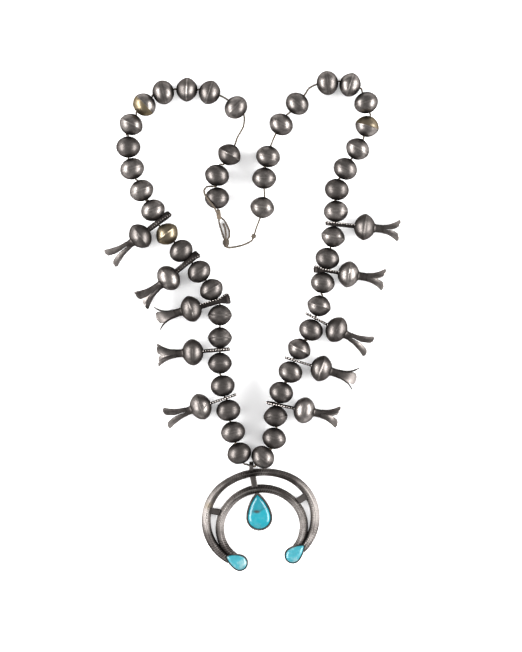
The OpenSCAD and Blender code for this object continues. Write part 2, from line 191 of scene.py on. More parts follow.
# half the outline of a two-dome bead, from the rim of its hole to the seam;
# full rounds the domes out and sharp draws them to a cone
def domeOutline(width, length, seam, sharp, bore, full):
    back = (width * width - length * length) / (4 * length)
    arc = length / 2 + back
    points = []
    for k in range(bead["rings"] + 1):
        x = length / 2 * math.cos(math.pi / 2 * k / bead["rings"])
        dome = math.sqrt(max(arc * arc - (x + back) ** 2, 0))
        oval = width / 2 * math.sqrt(max(1 - (2 * x / length) ** 2, 0))
        cone = width / 2 * (1 - max(2 * x / length, 0) ** bead["cone"])
        points.append(((1 - sharp) * ((1 - full) * dome + full * oval) + sharp * cone, x))
    rim = bore / 2 * bead["rim"]
    half = [p for p in points if p[0] > rim]
    (r0, x0), (r1, x1) = points[len(points) - len(half) - 1], half[0]
    half.insert(0, (rim, x0 + (x1 - x0) * (rim - r0) / (r1 - r0)))
    half[-1] = (width / 2 + seam, 0.0)
    half.insert(-1, (width / 2 + seam * 0.7 - 0.04 * sharp, seam * 0.7))
    half.insert(-2, (width / 2 - 0.02 - 0.12 * sharp, seam * 1.7))
    return half


def makeBead(sharp, offset):
    seam = bead["seam"] * (0.1 + 2 * sharp)
    half = domeOutline(bead["width"], bead["length"], seam, sharp, bead["bore"], bead["full"])
    r, rimAt = bead["bore"] / 2, half[0][1]
    front = [(r, rimAt - bead["lip"]), (r, rimAt - 0.02), (r * 1.06, rimAt + 0.06)] + half
    part = turned(front + [(r, -x) for r, x in reversed(front[:-1])], bead["around"])
    dented(part, *bead["dents"], offset)
    return part


def stringOfBeads(side):
    rng = random.Random(seeds[side])
    piece = newPiece()
    for number, row in enumerate(strings[side], 1):
        x, y, heading, lift, pitch = (*row, 0, 0)[:5]
        offset = randomPlace(rng)
        sharp = pointed[side].get(number, 0.0)
        tone, brassFront, brassBack = tones[side].get(number, (rng.uniform(-0.1, 0.1), 0, 0))

        def darkness(co, tone=tone, sharp=sharp):
            # darker towards the holes: patina plus painted shade where neighbouring beads shade the ends;
            # crease: patina plus painted shade beside the seam
            atHole = max(0.0, 2 * abs(co.x) / bead["length"] - 0.72) * 2.2
            crease = near(abs(co.x) - 0.6, 0.35) * 0.16
            # a painted highlight along the seam, stronger on pointed beads
            line = near(co.x, 0.8) * 1.2 * sharp
            return limited(bead["darkness"] - tone + atHole + crease - line)

        def brass(co, front=brassFront, back=brassBack):
            return front if co.x > 0 else back

        place = toWorld(x, y, bead["height"] + lift, heading, pitch, rng.uniform(0, 360))
        addPart(piece, makeBead(sharp, offset), place, darkness, brass)
    return piece


# Blossoms. A pod is the blossom's own bead.
pod = {"width": 14.2, "length": 11.4, "hole": 0.6, "seam": 0.05, "point": 0.12, "full": 0.7,
       "dents": (0.1, 5.0), "darkness": 0.42}
# how pointed each blossom's bead is at its seam, and how strong the painted highlight along its seam is
crests = {
    "blossom_left_1": (0.9, 0.4), "blossom_left_2": (0.1, 0.1), "blossom_left_3": (1.0, 0.0),
    "blossom_left_4": (0.6, 0.2), "blossom_left_5": (0.7, 0.1), "blossom_right_1": (1.3, -0.4),
    "blossom_right_2": (1.0, 0.2), "blossom_right_3": (0.5, 0.1), "blossom_right_4": (1.1, 0.5),
    "blossom_right_5": (0.4, 0.1),
}
# the tube starts sunk into the pod with a collar of solder, and runs on past the start of the petals
stem = {"diameter": 4.4, "wall": 0.6, "sunk": 0.7, "past": 0.5, "collar": 0.5, "darkness": 0.8, "sides": 28}
# so many times fuller than their row says but no wider than the widest; a painted highlight lightens the
# tips, broad ones less
petals = {"fuller": 1.2, "widest": 4.9, "spoon": 0.22, "tip": 0.3, "sheet": 0.45, "sunk": 0.4, "darkness": 0.7,
          "tipHighlight": 0.5, "broad": 4, "broadHighlight": 0.25, "rows": 20, "columns": 8}
wireCurl = {"on": "blossom_left_5", "x": -2.3, "radius": 1.3, "turns": 1.4, "wire": 0.42, "points": 30}
# heights at the far end and at the pod, and thickness of the band
strap = {"far": 5.8, "neck": 3.2, "band": 0.9, "sunk": 0.35, "dot": 0.4, "dotEvery": 1.4,
         "steps": 20, "bend": 16}
# how much wider the strap is toward the next bead
widerBy = {"blossom_left_1": 0.4, "blossom_left_2": 0.4, "blossom_left_3": 0.6}
# which edge of the strap carries the row of dots, where that isn't the middle
dotted = {
    "blossom_left_1": 1, "blossom_left_2": 1, "blossom_left_3": -1,
    "blossom_right_1": 1, "blossom_right_2": 1,
}


# the strap that the cord goes through, wider on its upper side,
# and its run of (x, half width, z) points with the way in
def makeStrap(reach, low, upper, far, extra):
    rFar, rNear, band, steps = strap["far"] / 2, strap["neck"] / 2, strap["band"], strap["steps"]
    xFar, xNear = rFar - reach, strap["sunk"] - pod["length"] / 2
    path = []
    for k in range(steps + 1):
        path.append((xNear + (xFar - xNear) * k / steps, rNear + (rFar - rNear) * k / steps))
    for k in range(1, strap["bend"]):
        a = math.pi / 2 + math.pi * k / strap["bend"]
        path.append((xFar + rFar * math.cos(a), rFar * math.sin(a)))
    path += [(x, -z) for x, z in reversed(path[:steps + 1])]
    sections, run = [], []
    for (x, z), before, after in zip(path, path[:1] + path, path[1:] + path[-1:]):
        along = (Vector(after) - Vector(before)).normalized()
        inward = Vector((-along.y, along.x))
        spread = limited((5.5 - reach - x) / 3.5)
        top = limited((z - 0.6) / 0.6)
        half = (low + (upper + (far - upper) * spread - low) * top) / 2
        right = half + extra * top
        section = []
        for y, depth in ((-half, 0.12), (-half + 0.15, 0), (right - 0.15, 0), (right, 0.12),
                         (right, band - 0.1), (right - 0.1, band), (-half + 0.1, band), (-half, band - 0.1)):
            at = Vector((x, z)) + inward * depth
            section.append((at.x, y, at.y))
        sections.append(section)
        run.append((Vector((x, half, z)), inward))
    return skinned(sections), run


# twisted wire soldered along the strap: a row of dots
def addDots(piece, run, matrix, side):
    travelled = 0.0
    for (a, inward), (b, _) in zip(run, run[1:]):
        step = (b - a).length
        while travelled < step:
            at = a.lerp(b, travelled / step)
            part = bmesh.new()
            bmesh.ops.create_icosphere(part, subdivisions=1, radius=strap["dot"])
            y = side * (at.y - strap["dot"])
            z = at.z - inward.y * strap["dot"] * 0.2
            x = at.x - inward.x * strap["dot"] * 0.2
            addPart(piece, part, matrix @ Matrix.Translation((x, y, z)), 0.0)
            travelled += strap["dotEvery"]
        travelled -= step


def makePetal(reach, spread, flareFrom, width, rng):
    part = bmesh.new()
    bmesh.ops.create_grid(part, x_segments=petals["rows"], y_segments=petals["columns"], size=0.5)
    start = flareFrom - petals["sunk"]
    rWall = (stem["diameter"] - stem["wall"]) / 2
    farthest = spread - stem["wall"] / 2
    rise, run = farthest - rWall, reach - flareFrom
    flare = (run * run + rise * rise) / (2 * rise)
    curl = rng.uniform(-0.2, 0.35)
    lean = rng.uniform(-0.25, 0.25)
    tip = width * petals["tip"]
    for vert in part.verts:
        t = vert.co.x + 0.5
        s = vert.co.y * 2
        x = start + (reach - start) * t
        ahead = max(x - flareFrom, 0)
        radius = rWall + (flare - math.sqrt(max(flare * flare - ahead * ahead, 0)))
        radius = min(radius + curl * t ** 3, farthest)
        half = min(width / 2 * (1 + petals["spoon"] * t ** 3), 0.76 * radius)
        if reach - x < tip:
            half *= 0.45 + 0.55 * math.sqrt(max(1 - (1 - (reach - x) / tip) ** 2, 0))
        across = radius * (1 + 2.2 * t)
        angle = s * half / across
        vert.co = (x, across * math.sin(angle) + lean * t * t, radius - across * (1 - math.cos(angle)))
    bmesh.ops.recalc_face_normals(part, faces=part.faces)
    if sum(face.normal.z for face in part.faces) > 0:
        bmesh.ops.reverse_faces(part, faces=part.faces)
    bmesh.ops.solidify(part, geom=list(part.faces), thickness=petals["sheet"])
    return part


# a small curl of wire on top of a pod
def makeCurl():
    route = []
    for k in range(wireCurl["points"] + 1):
        t = k / wireCurl["points"]
        a = math.tau * wireCurl["turns"] * t
        x = wireCurl["x"] + wireCurl["radius"] * (1 - 0.75 * t) * math.cos(a)
        y = wireCurl["radius"] * (1 - 0.75 * t) * math.sin(a)
        r = math.sqrt(max(1 - (2 * x / pod["length"]) ** 2, 0)) * pod["width"] / 2
        route.append(Vector((x, y, math.sqrt(max(r * r - y * y, 0)) - 0.02)))
    return twistedTube(route, wireCurl["wire"], 8, 0)


def makeBlossom(name, row):
    x, y, heading, twist, roll, _, reach, spread, flareFrom, petalWidth, *strapRow = row
    rng = random.Random(name)
    piece = newPiece()
    place = toWorld(x, y, pod["width"] / 2, heading)
    offset = randomPlace(rng)
    tone = rng.uniform(-0.12, 0.12)
    crest, seamHighlight = crests[name]

    def podDarkness(co):
        # a painted highlight along the seam; darker towards the ends: patina plus painted shade
        line = near(co.x, 0.9) * 0.25 * seamHighlight
        return limited(pod["darkness"] - tone - line + max(0.0, 2 * abs(co.x) / pod["length"] - 0.75) * 1.8)

    half = domeOutline(pod["width"], pod["length"], pod["seam"] * crest, pod["point"] * crest, pod["hole"],
                       pod["full"])
    front = [(0.0, half[0][1])] + half
    part = turned(front + [(r, -back) for r, back in reversed(front[:-1])], bead["around"])
    dented(part, *pod["dents"], offset)
    addPart(piece, part, place, podDarkness)

    r, rIn = stem["diameter"] / 2, stem["diameter"] / 2 - stem["wall"]
    x0, x1 = pod["length"] / 2 - stem["sunk"], flareFrom + stem["past"]
    tube = turned([(rIn, x0), (r + stem["collar"], x0), (r + 0.12, x0 + 0.55), (r - 0.05, x0 + 1.1),
                   (r, x1 - 0.1), (r - 0.1, x1), (rIn + 0.1, x1), (rIn, x1 - 0.1), (rIn, x0)], stem["sides"])
    addPart(piece, tube, place, stem["darkness"])

    tipHighlight = petals["tipHighlight"] if petalWidth < petals["broad"] else petals["broadHighlight"]
    width = min(petalWidth * petals["fuller"], petals["widest"])

    def petalDarkness(co):
        # painted highlight, lighter towards the tips
        return petals["darkness"] - tipHighlight * limited((co.x - 8) / (reach - 8))

    for k in range(4):
        petal = makePetal(reach, spread, flareFrom, width, rng)
        addPart(piece, petal, place @ Matrix.Rotation(math.radians(roll + 90 * k), 4, "X"), petalDarkness)
    if name == wireCurl["on"]:
        addPart(piece, makeCurl(), place, 0.1)
    band, run = makeStrap(*strapRow, widerBy.get(name, 0.0))
    strapPlace = place @ Matrix.Rotation(math.radians(twist), 4, "X")
    addPart(piece, band, strapPlace, 1.0)
    addDots(piece, run, strapPlace, dotted.get(name, 0))
    return piece


# Pendant
pendantAt = (4.6, -105.5, 8)  # x, y, heading
# each crescent's centre line: half width, height over its base, radius of the side arcs and how far down
# they sweep; then its width, how much that narrows from inside at the top, and how strong the painted
# highlight on its sides is
crescents = {
    "outer": {"halfWidth": 29.1, "top": 24.4, "side": 23, "base": 0, "sweep": 55, "band": 4.8,
              "narrowTop": 0.9, "sideHighlight": 0.45},
    "inner": {"halfWidth": 22.4, "top": 20.7, "side": 18.5, "base": -4.6, "sweep": 47, "band": 4.5,
              "narrowTop": 0, "sideHighlight": 0.42},
}
# the ridged section across a crescent, from its inner edge at -1 to its outer edge at 1
ridge = {"height": 3.4, "edge": 0.9, "flat": 0.07, "swell": 0.12, "stamp": 0.14, "stampEvery": 1.25,
         "darkness": 0.6, "sideSteps": 220, "topSteps": 180,
         "columns": (-1, -0.97, -0.8, -0.62, -0.44, -0.27, -0.07, 0.07, 0.27, 0.44, 0.62, 0.8, 0.97, 1)}
solder = {"x": -26.5, "y": 11.0, "radius": 3.2, "brass": 0.8}  # brassy, beside the left crossbar
# darker and lighter spots on the crescents: x, y, radius, darker above 0 and brighter below
toneSpots = [
    (-28, -4, 8, 0.3), (-24, -15, 9, 0.4), (24, -13, 6, -0.28), (-21, 3, 7, -0.5), (-19, -12, 5, 0.2),
]
# pear settings: x, y and heading, radius of the round end, reach of the point, radius of its flanks,
# height of the stone, wall round it
settings = {
    "drop": {"at": (-0.6, 0.9, 87), "round": 7, "point": 13.6, "flank": 20, "stone": 5, "wall": 0.9},
    "right": {"at": (14.2, -21.5, 34), "round": 4.4, "point": 8.8, "flank": 14, "stone": 4.4, "wall": 0.5},
    "left": {"at": (-14.2, -21.5, 146), "round": 4.4, "point": 8.8, "flank": 14, "stone": 4.4, "wall": 0.5},
}
bezel = {"height": 3.0, "seat": 0.8, "stoneGap": 0.12, "stoneFoot": 0.95, "darkness": 0.45,
         "flankSteps": 16, "roundSteps": 24}
# x, y, heading, length, width, darkness
crossbars = [
    (-0.8, 20.2, 92, 6.5, 3.2, 0.65), (-23.7, 7.4, 162, 6, 3.4, 0.65), (23.3, 7.8, 24, 6, 3.6, 0.45),
]
crossbar = {"height": 2.2, "middle": 1.3, "rounding": 0.6}
bail = {"at": (-0.3, -77.5, 2.8), "outer": 5.4, "hole": 3.3, "width": 2.2, "darkness": 0.5}


def pendantPlace(x=0, y=0, heading=0, z=0):
    px, py, turn = pendantAt
    inner = Matrix.Translation((x, y, z)) @ Matrix.Rotation(math.radians(heading), 4, "Z")
    return toWorld(px, py, 0, turn) @ inner


# centre line of a crescent as (x, y, angle) points: a side arc, the top arc and the other side arc
def crescentPath(shape):
    side, base, steps, across = shape["side"], shape["base"], ridge["sideSteps"], ridge["topSteps"]
    half = shape["halfWidth"] - side
    topR = (half * half + shape["top"] ** 2 - side * side) / (2 * (shape["top"] - side))
    turn = math.atan2(topR - shape["top"], half)
    low = -math.radians(shape["sweep"])
    path = []
    for k in range(steps + 1):
        a = low + (turn - low) * k / steps
        path.append((half + side * math.cos(a), base + side * math.sin(a), a))
    for k in range(1, across):
        a = turn + (math.pi - 2 * turn) * k / across
        path.append((topR * math.cos(a), base + shape["top"] - topR + topR * math.sin(a), a))
    return path + [(-x, y, math.pi - a) for x, y, a in reversed(path[:steps + 1])]


def solderAt(co):
    return solder["brass"] * near(math.hypot(co.x - solder["x"], co.y - solder["y"]), solder["radius"])


def toneSpotsAt(x, y):
    return sum(much * near(math.hypot(x - atX, y - atY), radius) for atX, atY, radius, much in toneSpots)


# whether a place on a crescent is under a terminal's stone
def underStone(x, y):
    for setting in (settings["left"], settings["right"]):
        atX, atY, heading = setting["at"]
        turn = math.radians(heading)
        px = (x - atX) * math.cos(turn) + (y - atY) * math.sin(turn)
        py = (y - atY) * math.cos(turn) - (x - atX) * math.sin(turn)
        inside = False
        outline = pear(setting, setting["wall"] * 0.3)
        for (ax, ay), (bx, by) in zip(outline, outline[1:] + outline[:1]):
            if (ay > py) != (by > py) and px < ax + (bx - ax) * (py - ay) / (by - ay):
                inside = not inside
        if inside:
            return True
    return False


def makeCrescent(shape):
    band = shape["band"]
    path = crescentPath(shape)
    sections, darknessRows = [], []
    travelled = 0.0
    for (x, y, a), (fromX, fromY, _) in zip(path, path[:1] + path):
        travelled += math.hypot(x - fromX, y - fromY)
        out = Vector((math.cos(a), math.sin(a)))
        drawn = shape["narrowTop"] * max(math.sin(a), 0) ** 4
        deep = 0.3 + max(noise.noise(Vector((x / 7, y / 7, band))), 0) + (0.7 if y < -8 else 0)
        wear = noise.noise(Vector((x / 9, y / 9, 3 * band))) * 0.3
        # painted highlight lightening the middle of each side, where the side lamps fall
        sideHighlight = shape["sideHighlight"] * near(y - (8 if x < 0 else 1), 12)
        section, sectionDarkness = [(x + out.x * (drawn - band / 2), y + out.y * (drawn - band / 2), 0)], [0.0]
        for c in ridge["columns"]:
            off = band / 2 * c + drawn * (1 - c) / 2
            rise = 1 - max(abs(c) - ridge["flat"], 0) / (1 - ridge["flat"])
            wave = deep * math.sin(math.tau * travelled / ridge["stampEvery"] + 4 * c)
            z = ridge["edge"] + (ridge["height"] - ridge["edge"]) * rise
            z += ridge["swell"] * math.sin(math.pi * rise)
            if 0.2 < abs(c) < 0.9:
                z += ridge["stamp"] * wave
            if abs(c) > 0.98:
                z -= 0.14
            if underStone(x + out.x * off, y + out.y * off):
                z = bezel["seat"] * 0.9
            section.append((x + out.x * off, y + out.y * off, z))
            streak = noise.noise(Vector((c * 5, travelled / 9, band))) * 0.45
            mark = 0.22 * wave if abs(c) > 0.2 else 0
            sectionDarkness.append(ridge["darkness"] + streak + wear - 0.2 * rise - sideHighlight + mark + toneSpotsAt(x, y))
        sections.append(section + [(x + out.x * band / 2, y + out.y * band / 2, 0)])
        darknessRows.append(sectionDarkness + [0.0])
    return skinned(sections, darknessRows)


# pear outline, less wide by so much all round: a flank, the round end and the other flank
def pear(setting, less):
    r, point, flank = setting["round"], setting["point"], setting["flank"]
    lean = (point * point + r * r - 2 * flank * r) / (2 * (flank - r) * point)
    cx, cy = (flank - r) * lean, -(flank - r) * math.sqrt(1 - lean * lean)
    reach = cx + math.sqrt((flank - less) ** 2 - cy * cy)
    start = math.atan2(-cy, reach - cx)
    join = math.pi - math.acos(lean)
    steps, back = bezel["flankSteps"], bezel["roundSteps"]
    side = []
    for k in range(steps):
        a = start + (join - start) * k / steps
        side.append((cx + (flank - less) * math.cos(a), cy + (flank - less) * math.sin(a)))
    end = []
    for k in range(back + 1):
        a = join + (math.tau - 2 * join) * k / back
        end.append(((r - less) * math.cos(a), (r - less) * math.sin(a)))
    return side + end + [(x, -y) for x, y in reversed(side[1:])]


def stacked(levels):
    return skinned([[(x, y, z) for x, y in outline] for outline, z in levels])


def makeBezel(setting):
    wall, top = setting["wall"], bezel["height"]
    return stacked([
        (pear(setting, 0), 0), (pear(setting, 0), top - 0.7), (pear(setting, 0.08), top - 0.3),
        (pear(setting, 0.25), top - 0.02), (pear(setting, wall * 0.8), top + 0.02),
        (pear(setting, wall), top - 0.1), (pear(setting, wall + 0.02), top - 0.4),
        (pear(setting, wall + 0.02), bezel["seat"]),
    ])


def makeCabochon(setting):
    edge, shoulder = setting["wall"] + bezel["stoneGap"], bezel["height"] - 0.7
    span = setting["round"] - edge
    levels = [(pear(setting, edge), bezel["stoneFoot"]), (pear(setting, edge), shoulder)]
    for k in range(1, 12):
        a = math.pi / 2 * k / 12
        levels.append((pear(setting, edge + span * (1 - math.cos(a))),
                       shoulder + (setting["stone"] - shoulder) * math.sin(a)))
    part = stacked(levels)
    topFace = max(part.faces, key=lambda face: face.calc_center_median().z)
    middle = bmesh.ops.poke(part, faces=[topFace])["verts"][0]
    middle.co = (0, 0, setting["stone"])
    return part


def makeNaja():
    piece = newPiece()
    for shape in crescents.values():
        addPart(piece, makeCrescent(shape), pendantPlace(), None, solderAt)
    for x, y, heading, length, width, darkness in crossbars:
        part = bmesh.new()
        bmesh.ops.create_cube(part, size=1, matrix=Matrix.Diagonal((length, width, crossbar["height"], 1)))
        bmesh.ops.bevel(part, geom=list(part.edges), offset=crossbar["rounding"], affect="EDGES", segments=4,
                        profile=0.5, material=-1)
        addPart(piece, part, pendantPlace(x, y, heading, crossbar["middle"]), darkness)
    for setting in settings.values():
        addPart(piece, makeBezel(setting), pendantPlace(*setting["at"]), bezel["darkness"])
    outer, hole, width = bail["outer"] / 2, bail["hole"] / 2, bail["width"] / 2
    ring = turned([(hole, -width + 0.2), (hole + 0.25, -width), (outer - 0.25, -width),
                   (outer, -width + 0.3), (outer, width - 0.3), (outer - 0.25, width),
                   (hole + 0.25, width), (hole, width - 0.2), (hole, -width + 0.2)], 40)
    addPart(piece, ring, toWorld(*bail["at"], 0), bail["darkness"])
    return piece


# Cords, in mm. The strings' bare stretches: number of the bead before, x, y, z
bare = {
    "left": [(0, -17.4, 54.2, 2.5), (0, -18, 58.6, 5.8), (3, -7.8, 97, 6.1), (3, -4.5, 103, 5.8),
             (24, -2.6, -76.3, 4.4), (24, -1.5, -76.9, 3.4), (24, -0.5, -77.2, 3.2)],
    "right": [(0, 4.26, 54.14, 6.4), (5, 30.2, 123.2, 6.2), (24, 1.6, -77.3, 4.7), (24, 0.8, -77.3, 3.4),
              (24, -0.1, -77.2, 3.2)],
}
# the closure's routes
loopRoute = [(-17.5, 55, 2.7), (-17.6, 53, 1.2), (-17.2, 51, 0.7), (-16.3, 48, 0.5), (-15.3, 45, 0.7),
             (-14.65, 43.2, 1.1), (-14.65, 40.6, 1.1), (-14.4, 39.8, 0.7), (-13.8, 39.4, 0.5),
             (-13.2, 39.8, 0.7), (-12.95, 40.6, 1.1), (-12.95, 43.2, 1.1), (-12, 45, 0.7), (-12.1, 48, 0.5),
             (-13.4, 51, 0.7), (-14.8, 53.4, 1.2), (-16.6, 55, 2.6)]
tieRoute = [(4.2, 54, 6.2), (3.5, 52.4, 5.2), (2.6, 50.1, 3.4), (1.9, 48, 2), (1.4, 46.5, 1.5),
            (0.4, 43.5, 1.3), (-0.5, 42.4, 0.9), (-2.6, 41.2, 0.45), (-5.8, 40, 0.45), (-9, 39.3, 0.6),
            (-11.2, 38.9, 1.2), (-12.9, 38.9, 1.8), (-13.7, 39.7, 1.9), (-13.8, 41.6, 1.9),
            (-13.8, 43.4, 1.7), (-13.9, 46, 0.8), (-14.3, 49, 0.5), (-15.4, 51.8, 0.7)]
tailRoute = [(-20.4, 71.1, 6.4), (-21.9, 71.2, 7), (-24, 70.8, 8), (-25.3, 68.9, 9.3), (-24.7, 66.3, 10.6),
             (-23, 63.8, 11.8), (-21, 61.2, 12), (-19.4, 58.8, 10.3), (-18.8, 57.4, 8.4), (-18.4, 56.6, 6)]
crossHeight = 7.1  # of a string where it runs through a blossom's strap
cords = {"width": 1.0, "plies": 2, "turnEvery": 1.5, "groove": 0.12, "sides": 12, "spacing": 0.35,
         "smooth": 0.5}
wrap = {"from": (-17.4, 54.2, 2.5), "to": (-18, 58.6, 5.8), "width": 2.6, "hole": 1.4, "turnEvery": 0.62,
        "turnDepth": 0.16, "darkness": 0.2}
tieKnot = {"at": (0.9, 45, 1.4), "heading": (-1, -3, -0.2), "radius": 1.35, "hole": 1.3,
           "dents": (0.07, 0.8), "darkness": 0.75}
loopKnot = {"at": (-13.8, 41.7, 1.35), "size": (3.6, 2.4, 2.7), "wall": 0.2, "turns": 4, "turnDepth": 0.1,
            "darkness": 0.8}


# route of a string: through the holes of its beads, with the bare stretches between
def stringRoute(side):
    reach = bead["length"] / 2
    crossedAfter = {row[5] for name, row in blossomRows.items() if side in name}
    ends = []
    for row in strings[side]:
        x, y, heading, lift, pitch = (*row, 0, 0)[:5]
        h, p = math.radians(heading), math.radians(pitch)
        aim = Vector((math.cos(h) * math.cos(p), math.sin(h) * math.cos(p), math.sin(p))) * reach
        at = Vector((x, y, bead["height"] + lift))
        ends.append((at - aim, at + aim))
    points = [p[1:] for p in bare[side] if p[0] == 0]
    for number, (first, last) in enumerate(ends, 1):
        points += [tuple(first), tuple(last)]
        if number in crossedAfter:
            middle = (last + ends[number][0]) / 2
            points.append((middle.x, middle.y, crossHeight))
        points += [p[1:] for p in bare[side] if p[0] == number]
    return points


def smoothRoute(points):
    pts = [Vector(p) for p in points]
    pts = [2 * pts[0] - pts[1]] + pts + [2 * pts[-1] - pts[-2]]
    route = []
    for a, b, c, d in zip(pts, pts[1:], pts[2:], pts[3:]):
        steps = max(2, int((c - b).length / cords["spacing"]))
        leave, arrive = (c - a) / 2 - (c - b), (d - b) / 2 - (c - b)
        for k in range(steps):
            t = k / steps
            route.append(b + (c - b) * t + cords["smooth"] * t * (1 - t) * ((1 - t) * leave - t * arrive))
    route.append(pts[-2])
    return route


# a tube with the groove between its plies winding round it
def twistedTube(route, diameter, sides, groove):
    sections = []
    travelled = 0.0
    for p, before, after in zip(route, route[:1] + route, route[1:] + route[-1:]):
        travelled += (p - before).length
        along = (after - before).normalized()
        across = Vector((0, 0, 1)).cross(along)
        across = across.normalized() if across.length > 0.01 else Vector((1, 0, 0))
        up = along.cross(across)
        turn = math.tau * travelled / cords["turnEvery"]
        section = []
        for k in range(sides):
            a = math.tau * k / sides
            ply = abs(math.sin((cords["plies"] * a - turn) / 2))
            r = diameter / 2 * (1.02 - groove * (1 - ply) ** 2)
            section.append(p + (across * math.cos(a) + up * math.sin(a)) * r)
        sections.append(section)
    return skinned(sections)


# a cord's piece and its path in metres
def makeCord(points, darkness):
    route = smoothRoute(points)
    for p in route:
        p.z = max(p.z, cords["width"] / 2)
    piece = newPiece()
    part = twistedTube(route, cords["width"], cords["sides"], cords["groove"])
    addPart(piece, part, toWorld(0, 0, 0, 0), darkness)
    return piece, [(p + centre) * mm for p in route]


def facing(at, heading):
    turn = Vector(heading).to_track_quat("X", "Z").to_matrix().to_4x4()
    return Matrix.Translation((Vector(at) + centre) * mm) @ turn @ Matrix.Scale(mm, 4)


# cord wound round: ridges that run round the tube
def makeWrap():
    along = Vector(wrap["to"]) - Vector(wrap["from"])
    length, hole = along.length, wrap["hole"] / 2
    steps = int(length / wrap["turnEvery"]) * 6
    outline = [(hole, 0.0)]
    for k in range(steps + 1):
        x = length * k / steps
        swell = 0.5 + 0.5 * math.cos(math.tau * x / wrap["turnEvery"])
        fall = 1 - 0.12 * (2 * x / length - 1) ** 4
        outline.append((wrap["width"] / 2 * fall - wrap["turnDepth"] * swell, x))
    outline += [(hole, length), (hole, 0.0)]
    piece = newPiece()
    addPart(piece, turned(outline, 28), facing(wrap["from"], along), wrap["darkness"])
    return piece


def makeTieKnot():
    hole = tieKnot["hole"] / 2
    outline = []
    for k in range(1, 20):
        a = math.pi * k / 20
        wide = tieKnot["radius"] * (1 + 0.05 * math.cos(6 * a))
        outline.append((max(wide * math.sin(a), hole), -wide * math.cos(a)))
    outline += [(hole, outline[-1][1]), (hole, outline[0][1]), outline[0]]
    part = turned(outline, 28)
    dented(part, *tieKnot["dents"], Vector((4, 5, 6)))
    piece = newPiece()
    addPart(piece, part, facing(tieKnot["at"], tieKnot["heading"]), tieKnot["darkness"])
    return piece


# the hitch: an oval sleeve of turns round the loop's two sides
def makeLoopKnot():
    width, length, height = loopKnot["size"]
    sides, steps = 40, 25

    def oval(less, z):
        r = height / 2 - less
        section = []
        for k in range(sides):
            a = math.tau * k / sides
            x = r * math.cos(a) + math.copysign((width - height) / 2, math.cos(a))
            section.append((x, r * math.sin(a), z))
        return section

    sections = []
    for k in range(steps + 1):
        swell = 0.5 + 0.5 * math.cos(math.tau * loopKnot["turns"] * k / steps)
        sections.append(oval(0.02 + loopKnot["turnDepth"] * swell, length * (k / steps - 0.5)))
    sections += [oval(loopKnot["wall"], length / 2), oval(loopKnot["wall"], -length / 2), sections[0]]
    piece = newPiece()
    addPart(piece, skinned(sections), toWorld(*loopKnot["at"], 0, roll=90), loopKnot["darkness"])
    return piece


# Materials
silverLook = {"clean": (0.25, 0.228, 0.215), "worn": (0.08, 0.072, 0.068), "dark": (0.0175, 0.015, 0.014),
              "brass": (0.125, 0.1, 0.064), "edge": 0.3, "smooth": 0.27, "rough": 0.25,
              "clouds": 260, "grain": 1600}
turquoise = {"deep": (0.003, 0.1, 0.13), "main": (0.006, 0.172, 0.215), "pale": (0.24, 0.31, 0.3),
             "matrix": (0.025, 0.03, 0.027), "shade": (0.008, 0.055, 0.062), "clouds": 190, "grain": 900,
             "veins": 210}
# how deep, cloudy and milky each stone is, its polish, and whether it has the dark patch
stoneLooks = {
    "drop": {"deep": 0.1, "cloudy": 0.12, "milky": 0.0, "rough": 0.2, "gloss": 0.32, "patch": True},
    "right": {"deep": 0.0, "cloudy": 0.6, "milky": 0.06, "rough": 0.28, "gloss": 0.5, "patch": False},
    "left": {"deep": 0.0, "cloudy": 0.6, "milky": 0.06, "rough": 0.28, "gloss": 0.5, "patch": False},
}
# the drop's dark patch, in metres: deeper blue above a slanting seam that starts at the patch
patch = {"at": (0.0022, -0.1009, 0), "heading": 20, "flat": 2.2, "radius": 0.0029}
cordLook = {"light": (0.12, 0.09, 0.062), "dark": (0.018, 0.012, 0.008), "rough": 0.85,
            "clouds": 500, "fibres": 5000}


def newMaterial(name):
    material = bpy.data.materials.new(name)
    material.use_nodes = True
    tree = material.node_tree
    return material, tree, tree.nodes["Principled BSDF"]


def addNode(tree, kind, inputs, **values):
    node = tree.nodes.new(kind)
    for key, value in values.items():
        setattr(node, key, value)
    for key, value in inputs.items():
        if hasattr(value, "links"):
            tree.links.new(value, node.inputs[key])
        else:
            node.inputs[key].default_value = value
    return node


def objectCoords(tree):
    return addNode(tree, "ShaderNodeTexCoord", {}).outputs["Object"]


def attributeNode(tree, name):
    return addNode(tree, "ShaderNodeAttribute", {}, attribute_name=name).outputs["Fac"]


def mathNode(tree, kind, a, b=0.0, clamp=False):
    return addNode(tree, "ShaderNodeMath", {0: a, 1: b}, operation=kind, use_clamp=clamp).outputs[0]


def vectorNode(tree, kind, a, b=(0, 0, 0)):
    node = addNode(tree, "ShaderNodeVectorMath", {0: a, 1: b}, operation=kind)
    return node.outputs["Value" if kind in ("DOT_PRODUCT", "LENGTH") else "Vector"]


def mixNode(tree, factor, a, b):
    a, b = ((*colour, 1) if isinstance(colour, tuple) else colour for colour in (a, b))
    return addNode(tree, "ShaderNodeMix", {0: factor, 6: a, 7: b}, data_type="RGBA").outputs[2]


def rampNode(tree, value, first, middle, last):
    node = addNode(tree, "ShaderNodeValToRGB", {"Fac": value})
    elements = node.color_ramp.elements
    for element, (position, colour) in ((elements[0], first), (elements[1], last)):
        element.position = position
        element.color = (*colour, 1)
    elements.new(middle[0]).color = (*middle[1], 1)
    return node.outputs[0]


def softStep(tree, value, start, end):
    return addNode(tree, "ShaderNodeMapRange", {"Value": value, "From Min": start, "From Max": end},
                   interpolation_type="SMOOTHSTEP").outputs[0]


